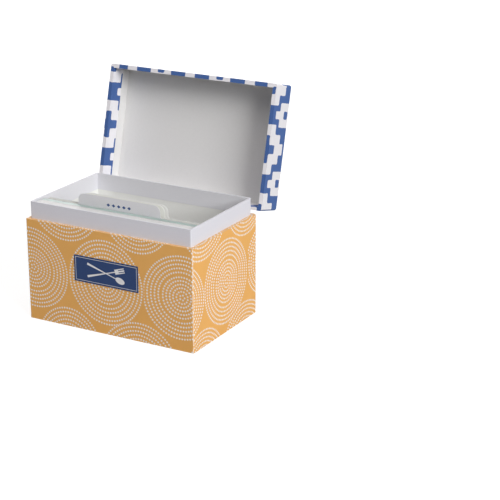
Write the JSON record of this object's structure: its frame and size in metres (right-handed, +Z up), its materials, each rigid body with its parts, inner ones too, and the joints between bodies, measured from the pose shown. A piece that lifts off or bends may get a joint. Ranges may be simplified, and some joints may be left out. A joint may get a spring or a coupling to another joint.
{
  "type": "recipe box",
  "caption": "Recipe box of paper-covered board: deep hinged lid standing open, raised white neck round the card bay, tabbed dividers and cards of 6 by 4 inches.",
  "frame": {"origin": "the middle of the box's underside, on the surface that it stands on", "axes": "+X to the box's right, -Y out of its labelled front, +Z up; the lid stands open behind the neck"},
  "size_m": [0.1704, 0.1674, 0.1991],
  "materials": {
    "greyboard": "grey pressed board",
    "stay_paper": "brown gummed paper",
    "base_print": "golden orange printed paper with rings of pale dots, matte",
    "lid_print": "blue printed paper with pale stepped crosses, matte",
    "white_paper": "matte white paper",
    "lining_paper": "matte white lining paper",
    "underside_paper": "matte white paper",
    "label_print": "navy printed paper with a thin pale border",
    "card_stock": "smooth white card",
    "sleeve_plastic": "clear plastic with a pale green edge",
    "divider_stock": "stiff off-white card"
  },
  "bodies": {
    "base": {"base_floor_board": "greyboard", "base_front_board": "greyboard", "base_back_board": "greyboard", "base_left_board": "greyboard", "base_right_board": "greyboard", "base_corner_stays": "stay_paper", "base_wrap": "base_print", "underside_sheet": "underside_paper", "neck_front_board": "greyboard", "neck_back_board": "greyboard", "neck_left_board": "greyboard", "neck_right_board": "greyboard", "neck_wrap": "white_paper", "neck_liner": "lining_paper", "floor_liner": "lining_paper", "front_label": "label_print", "hinge_strip": "white_paper"},
    "lid": {"lid_top_board": "greyboard", "lid_front_board": "greyboard", "lid_back_board": "greyboard", "lid_left_board": "greyboard", "lid_right_board": "greyboard", "lid_corner_stays": "stay_paper", "lid_wrap": "lid_print", "lid_liner": "lining_paper"},
    "card_pack": {"recipe_cards": "card_stock"},
    "sleeve_pack": {"card_sleeves": "sleeve_plastic"},
    "first_divider": {"divider_1": "divider_stock"},
    "second_divider": {"divider_2": "divider_stock"},
    "third_divider": {"divider_3": "divider_stock"}
  },
  "joints": [
    {"name": "lid_hinge", "type": "hinge", "parent": "base", "child": "lid", "pos_m": [0, 0.05711, 0.09053], "axis": [-1, 0, 0], "range_deg": [-104.4, 0], "deforming": ["hinge_strip"]},
    {"name": "card_pack_lift", "type": "slide", "parent": "base", "child": "card_pack", "axis": [0, 0, 1], "range_m": [0, 0.11]},
    {"name": "sleeve_pack_lift", "type": "slide", "parent": "base", "child": "sleeve_pack", "axis": [0, 0, 1], "range_m": [0, 0.11]},
    {"name": "first_divider_lift", "type": "slide", "parent": "base", "child": "first_divider", "axis": [0, 0, 1], "range_m": [0, 0.11]},
    {"name": "second_divider_lift", "type": "slide", "parent": "base", "child": "second_divider", "axis": [0, 0, 1], "range_m": [0, 0.11]},
    {"name": "third_divider_lift", "type": "slide", "parent": "base", "child": "third_divider", "axis": [0, 0, 1], "range_m": [0, 0.11]}
  ]
}
